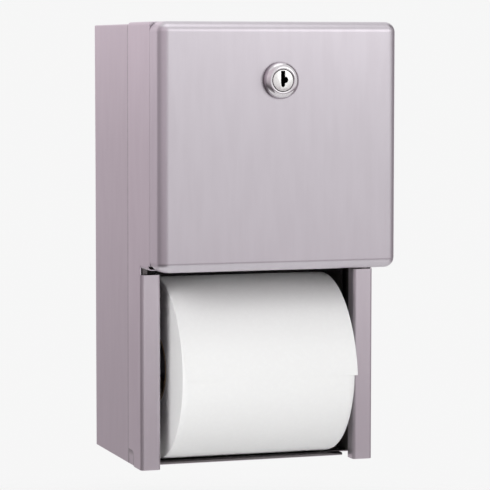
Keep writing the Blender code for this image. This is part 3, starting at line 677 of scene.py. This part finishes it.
gusset = {
    "leg": 9.0 * mm, "cut": 0.75, "thickness": 0.8 * mm, "inset": 0.35 * mm, "ease": 0.1 * mm, "smooth": 30,
    "seam": -130.0 * mm, "behindSeam": 0.45 * mm,
}


def makeGussets(values):
    low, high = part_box("front_frame")
    outer, top = high.x - values["inset"], high.z - values["inset"]
    leg, cut = values["leg"], values["cut"]
    front = values["seam"] + values["behindSeam"]
    bm = bmesh.new()
    for side in (-1, 1):
        corners = [(side * outer, top), (side * (outer - leg), top),
                   (side * (outer - leg * (1 - cut)), top - leg * cut), (side * outer, top - leg)]
        prism(bm, *([(x, y, z) for x, z in corners] for y in (front, front + values["thickness"])))
    piece = placePiece("corner_gussets", meshFrom(bm, "corner_gussets"), "frame_steel")
    easeEdges(piece, values["ease"], 1, values["smooth"])
    mesh = bakeModifiers(piece)
    smoothByAngle(mesh, values["smooth"])
    addGrain(mesh)
    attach(piece, bodyOf["front_frame"])


makeGussets(gusset)
print("gussets placed")


# Lock: a turned bezel on its threaded barrel, and the plug with its keyway

lockBezel = {
    "segments": 96, "threadPitch": 1.25 * mm, "threadDepth": 0.42 * mm, "threadRows": 8,
    # where the thread grows to its depth behind the bezel and runs out at the rear
    "threadStart": 1.5 * mm, "threadEnd": 1.0 * mm,
    "bodyRadius": 9.3 * mm, "boreRadius": 6.88 * mm, "rear": -22.0 * mm, "rearChamfer": 0.8 * mm,
    "rearStep": 0.05 * mm, "smooth": 50,
    # radius and height over the door's face in mm, from the bore's front edge out and back
    "front": [
        (6.88, 1.0), (6.88, 4.7), (6.93, 4.95), (7.08, 5.2), (7.3, 5.36), (7.6, 5.42), (8.0, 5.38),
        (8.6, 5.2), (9.3, 4.9), (9.9, 4.55), (10.4, 4.12), (10.8, 3.6), (11.08, 3.0), (11.26, 2.3),
        (11.38, 1.6), (11.46, 0.9), (11.44, 0.6), (11.3, 0.4), (11.0, 0.32), (9.3, 0.32),
    ],
}
lockPlug = {
    "segments": 96, "radius": 6.6 * mm, "front": 5.0 * mm, "rear": -22.0 * mm, "tenon": 7.0 * mm,
    "tenonEnd": -24.3 * mm, "tenonGap": 0.01 * mm, "chamfer": 0.35 * mm, "chamferAngle": 40,
    "keyDepth": 15.0 * mm, "keyOvershoot": 2.0 * mm, "smooth": 35,
    # the keyway's outline seen from the front, in mm from the plug's axis
    "keyway": [
        (-1.45, 6.0), (1.3, 6.0), (1.3, 2.3), (2.1, 2.2), (2.9, 1.7), (3.25, 0.7), (3.25, -0.2), (2.9, -1.0),
        (2.1, -1.5), (1.3, -1.7), (1.1, -3.2), (0.6, -3.9), (0.0, -4.2), (-0.7, -3.9), (-1.2, -3.2),
        (-1.45, -1.6),
    ],
}


def atLock(across, up, height):
    # across and up on the door's face, from the lock's axis, and the height over it
    return lockPlace + Vector((across, -height, up))


def lathe(bm, rows, segments, shape):
    # rows of (radius, height); the first and last are joined up, so that the profile is a closed loop
    rings = []
    for radius, height in rows:
        ring = []
        for step in range(segments):
            angle = fullTurn * step / segments
            size = shape(radius, height, angle)
            ring.append(bm.verts.new(atLock(size * math.cos(angle), size * math.sin(angle), height)))
        rings.append(ring)
    for one, two in zip(rings, rings[1:] + rings[:1]):
        for step in range(segments):
            after = (step + 1) % segments
            bm.faces.new((one[step], one[after], two[after], two[step]))
    bmesh.ops.recalc_face_normals(bm, faces=bm.faces)


def makeBezel(values):
    body, rear = values["bodyRadius"], values["rear"]
    rows = [(radius * mm, height * mm) for radius, height in values["front"]]
    start = rows[-1][1]
    count = int((start - rear) / values["threadPitch"] * values["threadRows"])
    rows += [(body, start + (rear - start) * step / count) for step in range(1, count + 1)]
    end = rear - values["rearStep"]
    rows += [(body - values["rearChamfer"], end), (values["boreRadius"], end)]

    def thread(radius, height, angle):
        if radius != body or height >= start:
            return radius
        ends = min((start - height) / values["threadStart"], (height - rear) / values["threadEnd"], 1)
        turn = (height / values["threadPitch"] + angle / fullTurn) % 1
        return radius - values["threadDepth"] * abs(turn - 0.5) * 2 * ends

    bm = bmesh.new()
    lathe(bm, rows, values["segments"], thread)
    piece = placePiece("lock_bezel", meshFrom(bm, "lock_bezel"), slotOf["lock_barrel"])
    smoothByAngle(piece.data, values["smooth"])
    adopt(piece, "lock_barrel")


def lockPrism(bm, outline, low, high):
    # an outline in the plane of the lock's face, between two heights
    prism(bm, *([atLock(across, up, height) for across, up in outline] for height in (low, high)))


def makePlug(values):
    # round part, squared tenon behind it, and the keyway cut in from the front
    angles = [fullTurn * step / values["segments"] for step in range(values["segments"])]
    circle = [(values["radius"] * math.cos(angle), values["radius"] * math.sin(angle)) for angle in angles]
    half = values["tenon"] / 2
    square = [(half, half), (-half, half), (-half, -half), (half, -half)]
    bm = bmesh.new()
    lockPrism(bm, circle, values["rear"], values["front"])
    lockPrism(bm, square, values["tenonEnd"], values["rear"] - values["tenonGap"])
    plug = placePiece("lock_face_plug", meshFrom(bm, "lock_face_plug"), slotOf["lock_plug"])
    easeEdges(plug, values["chamfer"], 2, values["chamferAngle"])
    bm = bmesh.new()
    outline = [(across * mm, up * mm) for across, up in values["keyway"]]
    lockPrism(bm, outline, values["front"] - values["keyDepth"], values["front"] + values["keyOvershoot"])
    smoothByAngle(cutAway(plug, bm, "keyCutter"), values["smooth"])
    adopt(plug, "lock_plug")


makeBezel(lockBezel)
makePlug(lockPlug)
print("lock turned")


# Paper rolls: the wound body and its loose last sheet, grown from a few sizes

def grow(name, tree, values, material):
    # runs a geometry tree once and keeps its result as a plain mesh
    piece = newObject(name, bpy.data.meshes.new(name))
    work = piece.modifiers.new(tree.name, "NODES")
    work.node_group = tree
    sockets = {item.name: item.identifier for item in tree.interface.items_tree
               if item.item_type == "SOCKET" and item.in_out == "INPUT"}
    for label, value in {**values, "Material": material}.items():
        work[sockets[label]] = value
    bakeModifiers(piece)
    return piece


def gridOf(tree, columns, rows):
    # a unit grid, with its two running shares from 0 to 1
    sizes = {"Size X": 1.0, "Size Y": 1.0, "Vertices X": columns, "Vertices Y": rows}
    grid = termOf(tree, "GeometryNodeMeshGrid", sizes, "Mesh")
    x, y, _ = split(termOf(tree, "GeometryNodeInputPosition"))
    return grid, x + 0.5, y + 0.5


def keep(shape, name, value, kind="FLOAT", domain="POINT"):
    inputs = {"Geometry": shape, "Name": name, "Value": value}
    return termOf(shape.tree, "GeometryNodeStoreNamedAttribute", inputs, data_type=kind, domain=domain)


def roundAxis(shape, along, radius, angle, centre):
    # places points round an axis along X: angle 0 is the front, and it grows upwards
    y = radius * calc("COSINE", angle) * -1.0
    z = radius * calc("SINE", angle)
    moved = termOf(shape.tree, "ShaderNodeVectorMath", {0: join(along, y, z), 1: centre}, operation="ADD")
    return termOf(shape.tree, "GeometryNodeSetPosition", {"Geometry": shape, "Position": moved})


def merged(shape):
    return termOf(shape.tree, "GeometryNodeMergeByDistance", {"Geometry": shape, "Distance": weldDistance})


def joined(*shapes):
    node = addNode(shapes[0].tree, "GeometryNodeJoinGeometry")
    for shape in reversed(shapes):
        feed(node.inputs[0], shape)
    return Term(node.outputs[0])


rollSizes = {
    "Centre": (0, 0, 0), "Outer Radius": 58.1 * mm, "Core Radius": 21.5 * mm, "Width": 114.0 * mm,
    "Edge Softness": 0.6 * mm, "Unevenness": 0.5 * mm, "Tail Angle": 0.0, "Tail Reach": 3.4,
    "Tail Lift": 0.25 * mm, "Tail Skew": 1.9 * mm, "Tail Slant": -0.004, "Tail Inset": 0.2 * mm,
    "Tail Sink": 0.5 * mm, "Sheet": 0.1 * mm, "Tear": 0.5 * mm, "Seed": 1.0,
}
# vertices round and across the winding, and along and across the last sheet; steps in the section's
# corners, cuts between its points, and the angle under which an edge is shaded soft
rollGrids = {"body": (161, 145), "flap": (90, 97), "corner": 5, "side": 5, "smooth": 40}


def makeWinding(tree, given, grids):
    width, core = given["Width"], given["Core Radius"]
    wall = given["Outer Radius"] - core
    # its section is a rectangle with soft corners
    section = termOf(tree, "GeometryNodeCurvePrimitiveQuadrilateral", {"Width": width, "Height": wall})
    inputs = {
        "Curve": section, "Count": grids["corner"], "Radius": given["Edge Softness"], "Limit Radius": True}
    soft = termOf(tree, "GeometryNodeFilletCurve", inputs, mode="POLY")
    finer = termOf(tree, "GeometryNodeSubdivideCurve", {"Curve": soft, "Cuts": grids["side"]})
    body, turn, share = gridOf(tree, *grids["body"])
    inputs = {"Curves": finer, "Factor": share}
    sampled = termOf(tree, "GeometryNodeSampleCurve", inputs, "Position", mode="FACTOR", use_all_curves=False)
    along, rise, _ = split(sampled)
    radius = rise + core + wall * 0.5
    angle = turn * fullTurn
    onEnd = abs(along) > width * 0.5 - 0.02 * mm
    body = keep(body, "end", onEnd)
    body = keep(body, "wrap", join(turn, choose(onEnd, along, radius), 0.0), "FLOAT2", "CORNER")
    # turns that slipped a little to one side show as shallow rings on the ends
    rings = noise(join(radius, given["Seed"], 0.0), 420.0, 3.0, 0.6)
    slip = (rings - 0.62) * given["Unevenness"] * calc("SIGN", along)
    waves = noise(join(calc("COSINE", angle), calc("SINE", angle), along * 14.0), 1.3, 3.0, 0.5)
    swell = (waves - 0.62) * (given["Unevenness"] * ((radius - core) / wall))
    return merged(roundAxis(body, along + slip, radius + swell, angle, given["Centre"]))


def makeLastSheet(tree, given, grids):
    # it lies on the winding and stands off a little at its free, torn edge
    flap, back, across = gridOf(tree, *grids["flap"])
    ahead = 1.0 - back
    side = across - 0.5
    free = ahead ** 14.0
    along = side * (given["Width"] - given["Tail Inset"] * 2.0) + given["Tail Skew"] * ahead ** 6.0
    teeth = termOf(tree, "GeometryNodeInputIndex") + given["Seed"]
    ragged = termOf(tree, "ShaderNodeTexWhiteNoise", {"W": teeth}, "Value", noise_dimensions="1D")
    torn = ragged * (back < 0.002) * (given["Tear"] / given["Outer Radius"])
    slant = side * given["Tail Slant"] * ahead
    angle = given["Tail Angle"] + back * given["Tail Reach"] + (torn + slant)
    waves = noise(join(angle * 2.0, along * 30.0, given["Seed"]), 1.6, 2.0, 0.5)
    ripple = waves * (free * given["Tail Lift"])
    stand = ripple + abs(side * 2.0) ** 8.0 * free * given["Tail Lift"]
    sink = back ** 5.0 * given["Tail Sink"]
    radius = given["Outer Radius"] + given["Sheet"] + stand - sink
    flap = keep(flap, "end", 0.0)
    flap = keep(flap, "wrap", join(angle / fullTurn, along, 0.0), "FLOAT2", "CORNER")
    flap = roundAxis(flap, along, radius, angle, given["Centre"])
    inputs = {"Mesh": flap, "Offset Scale": given["Sheet"], "Individual": False}
    outer = termOf(tree, "GeometryNodeExtrudeMesh", inputs, "Mesh", mode="FACES")
    under = termOf(tree, "GeometryNodeFlipFaces", {"Mesh": flap})
    return merged(joined(outer, under))


def makeRollTree():
    tree, given, out = newGroup("woundRoll", {**rollSizes, "Material": None}, ("Geometry",),
                                "GeometryNodeTree", "NodeSocketGeometry")
    body = makeWinding(tree, given, rollGrids)
    flap = makeLastSheet(tree, given, rollGrids)
    real = termOf(tree, "GeometryNodeRealizeInstances", {0: joined(body, flap)})
    dressed = termOf(tree, "GeometryNodeSetMaterial", {"Geometry": real, "Material": given["Material"]})
    feed(out["Geometry"], dressed)
    layOut(tree)
    return tree


rollTree = makeRollTree()
rollValues = {
    "lower_roll": {"Tail Angle": math.radians(-2.1), "Seed": 3.0},
    "reserve_roll": {"Tail Angle": math.radians(70.0), "Seed": 8.0},
}


def makeRoll(nodeName, values):
    centre = jointPlace[nodeName + "_turn"]
    piece = grow(nodeName + "_paper", rollTree, {**values, "Centre": centre}, finishes["paper"])
    smoothByAngle(piece.data, rollGrids["smooth"])
    adopt(piece, nodeName)
    print(nodeName, len(piece.data.polygons), "faces")


for nodeName, values in rollValues.items():
    makeRoll(nodeName, values)


# Camera, fitted to the photograph's edges

cameraValues = {
    "place": (-0.5012, -1.5428, 0.1224), "pitchDown": 3.4595, "yawRight": 17.7999,
    "lens": 177.078, "sensor": 36.0, "shift": (0.1, -0.1), "clipStart": 0.05,
}


def makeCamera(values):
    data = bpy.data.cameras.new("photoCamera")
    camera = newObject("photoCamera", data)
    camera.location = values["place"]
    camera.rotation_euler = (math.radians(90 - values["pitchDown"]), 0, -math.radians(values["yawRight"]))
    data.lens = values["lens"]
    data.sensor_width = values["sensor"]
    data.shift_x, data.shift_y = values["shift"]
    data.clip_start = values["clipStart"]
    data.dof.use_dof = False
    bpy.context.scene.camera = camera


makeCamera(cameraValues)
print("camera placed")


# Studio: a plain pale background, which metal reflects too, grey cards round the sides that stand in its
# reflections, soft lamps, and a pale floor well below the cabinet

studio = {
    "background": (0.925, 0.925, 0.925),
    # soft light on what isn't metal, by degrees up
    "ambient": ((-60, 0.55), (0, 0.12), (60, 0.3)),
    # a level is written as a share of this in a ramp, which holds no more than 1
    "levelSpan": 4.0,
    "cardDistance": 1.25, "cardTint": (1.0, 0.90, 0.955), "cardColumns": 16, "cardRows": 12,
    "floorHeight": -0.30, "floorRadius": 0.8, "floorSteps": 96,
    "floorColour": (0.94, 0.94, 0.94), "floorRough": 0.9,
    # share of the floor that shows the background's colour; the rest takes light and shadow
    "floorPlain": 0.6,
    # shares of its radius between which the floor fades out
    "floorFade": (0.3, 0.97),
}
# cards seen only in reflections: the degrees they reach, from the front towards the right, and their
# levels by degrees up
cards = {
    "rearLeftCard": {
        "reach": (172, 228),
        "levels": (
            (-40, 0.45), (-17, 0.54), (-9, 0.63), (-4, 0.71), (1, 0.73), (8, 1.04), (20, 1.00), (45, 0.96)),
    },
    "leftCard": {
        "reach": (228, 290), "levels": ((-40, 0.15), (-17, 0.15), (0, 0.38), (20, 0.55), (45, 0.56)),
    },
    "frontLeftCard": {
        "reach": (290, 352), "levels": ((-40, 0.15), (-17, 0.15), (0, 0.58), (20, 0.87), (45, 0.79)),
    },
    "lowFrontCard": {"reach": (352, 430), "levels": ((-20, 0.15), (-7, 0.84))},
    "rightCard": {"reach": (62, 120), "levels": ((-40, 0.35), (0, 0.3), (30, 0.25), (60, 0.12))},
}
lamps = {
    "faceLamp": {"place": (0.38, -0.9, 0.35), "size": 0.5, "power": 0.62, "glossy": True},
    "topLamp": {"place": (0.0, -0.35, 0.9), "size": 0.6, "power": 0.6, "glossy": True},
    "softTopLamp": {"place": (0.0, -0.35, 0.9), "size": 0.6, "power": 2.3, "glossy": False},
    "leftLamp": {"place": (-1.15, -0.96, 0.12), "size": 1.2, "power": 8.3, "glossy": False},
    "upperLeftLamp": {"place": (-0.9, -0.9, 0.6), "size": 0.6, "power": 5.0, "glossy": False},
    "lowFrontLamp": {"place": (0.3, -1.3, -0.1), "size": 0.6, "power": 4.6, "glossy": False},
}


def levelRamp(up, stops, span, tint=(1, 1, 1)):
    # a level by degrees up, from the sine of that angle
    ramp = addNode(up.tree, "ShaderNodeValToRGB", {0: calc("ARCSINE", up) / math.pi + 0.5})
    for degrees, _ in stops[1:-1]:
        ramp.color_ramp.elements.new((degrees + 90) / 180)
    for element, (degrees, level) in zip(ramp.color_ramp.elements, stops):
        element.position = (degrees + 90) / 180
        element.color = (*(part * level / span for part in tint), 1)
    return Term(ramp.outputs[0])


def glow(tree, kind, colour, strength=1.0):
    return termOf(tree, kind, {"Color": colour, "Strength": strength})


def directRay(tree):
    # 1 for what the camera sees, also in metal and through glass
    ray = addNode(tree, "ShaderNodeLightPath").outputs
    seen = calc("MAXIMUM", Term(ray["Is Camera Ray"]), Term(ray["Is Glossy Ray"]))
    return calc("MAXIMUM", seen, Term(ray["Is Transmission Ray"]))


def makeWorld(values):
    world = bpy.data.worlds.new("studio")
    bpy.context.scene.world = world
    world.use_nodes = True
    tree = world.node_tree
    tree.nodes.clear()
    up = split(termOf(tree, "ShaderNodeTexCoord", None, "Generated"))[2]
    ambient = levelRamp(up, values["ambient"], values["levelSpan"])
    soft = glow(tree, "ShaderNodeBackground", ambient, values["levelSpan"])
    plain = glow(tree, "ShaderNodeBackground", values["background"])
    addNode(tree, "ShaderNodeOutputWorld", {0: mixShader(directRay(tree), soft, plain)})
    layOut(tree)


def makeCard(name, card, values):
    # a piece of a sphere round the cabinet
    distance, columns, rows = values["cardDistance"], values["cardColumns"], values["cardRows"]
    low, high = card["levels"][0][0], card["levels"][-1][0]
    start, end = card["reach"]
    turns = [math.radians(start + (end - start) * column / columns) for column in range(columns + 1)]
    bm = bmesh.new()
    grid = []
    for row in range(rows + 1):
        up = math.radians(low + (high - low) * row / rows)
        level = distance * math.cos(up)
        grid.append([bm.verts.new((level * math.sin(turn), -level * math.cos(turn), distance * math.sin(up)))
                     for turn in turns])
    for one, two in zip(grid, grid[1:]):
        for column in range(columns):
            bm.faces.new((one[column], one[column + 1], two[column + 1], two[column]))
    look = bpy.data.materials.new(name)
    look.use_nodes = True
    tree = look.node_tree
    tree.nodes.clear()
    height = split(objectPlace(tree))[2]
    colour = levelRamp(height / distance, card["levels"], values["levelSpan"], values["cardTint"])
    shine = glow(tree, "ShaderNodeEmission", colour, values["levelSpan"])
    addNode(tree, "ShaderNodeOutputMaterial", {0: shine})
    layOut(tree)
    mesh = meshFrom(bm, name)
    mesh.materials.append(look)
    piece = newObject(name, mesh)
    piece.visible_camera = piece.visible_diffuse = piece.visible_shadow = piece.visible_transmission = False


def makeFloor(values):
    bm = bmesh.new()
    steps, place = values["floorSteps"], Matrix.Translation((0, 0, values["floorHeight"]))
    bmesh.ops.create_circle(bm, cap_ends=True, segments=steps, radius=values["floorRadius"], matrix=place)
    look, tree, shader = newFinish("paleFloor", 0.0, 0.1)
    feed(shader.inputs["Base Color"], values["floorColour"])
    feed(shader.inputs["Roughness"], values["floorRough"])
    plain = glow(tree, "ShaderNodeEmission", values["background"])
    lit = mixShader(directRay(tree) * values["floorPlain"], Term(shader.outputs[0]), plain)
    # it fades out towards its rim, and from below it isn't there
    x, y, _ = split(objectPlace(tree))
    start, end = (values["floorRadius"] * share for share in values["floorFade"])
    fade = between(calc("SQRT", x ** 2.0 + y ** 2.0), start, end, 1.0, 0.0, smooth=True)
    above = 1.0 - termOf(tree, "ShaderNodeNewGeometry", None, "Backfacing")
    shown = mixShader(fade * above, termOf(tree, "ShaderNodeBsdfTransparent"), lit)
    feed(tree.nodes["Material Output"].inputs[0], shown)
    layOut(tree)
    mesh = meshFrom(bm, "studioFloor")
    mesh.materials.append(look)
    newObject("studioFloor", mesh)


def makeLamp(name, values):
    data = bpy.data.lights.new(name, "AREA")
    data.shape = "DISK"
    data.size = values["size"]
    data.energy = values["power"]
    lamp = newObject(name, data)
    lamp.location = values["place"]
    lamp.rotation_euler = (-Vector(values["place"])).to_track_quat("-Z", "Y").to_euler()
    lamp.visible_camera = False
    lamp.visible_glossy = values["glossy"]


makeWorld(studio)
for name, values in cards.items():
    makeCard(name, values, studio)
makeFloor(studio)
for name, values in lamps.items():
    makeLamp(name, values)
bpy.context.scene.view_settings.view_transform = "Standard"
print("studio ready")


# What keeps its CAD shape takes its finish in its own slot

def dressNode(nodeName):
    mesh = frame["nodes"][nodeName].data
    while len(mesh.materials):
        mesh.materials.pop()
    mesh.materials.append(finishes[slotOf[nodeName]])
    addGrain(mesh)
    low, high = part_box(nodeName)
    addWrap(mesh, (low + high) / 2)


replaced = set(refined) | set(rollValues) | {"lock_barrel", "lock_plug"}
for nodeName in frame["nodes"]:
    if nodeName not in replaced:
        dressNode(nodeName)
print("CAD nodes dressed")
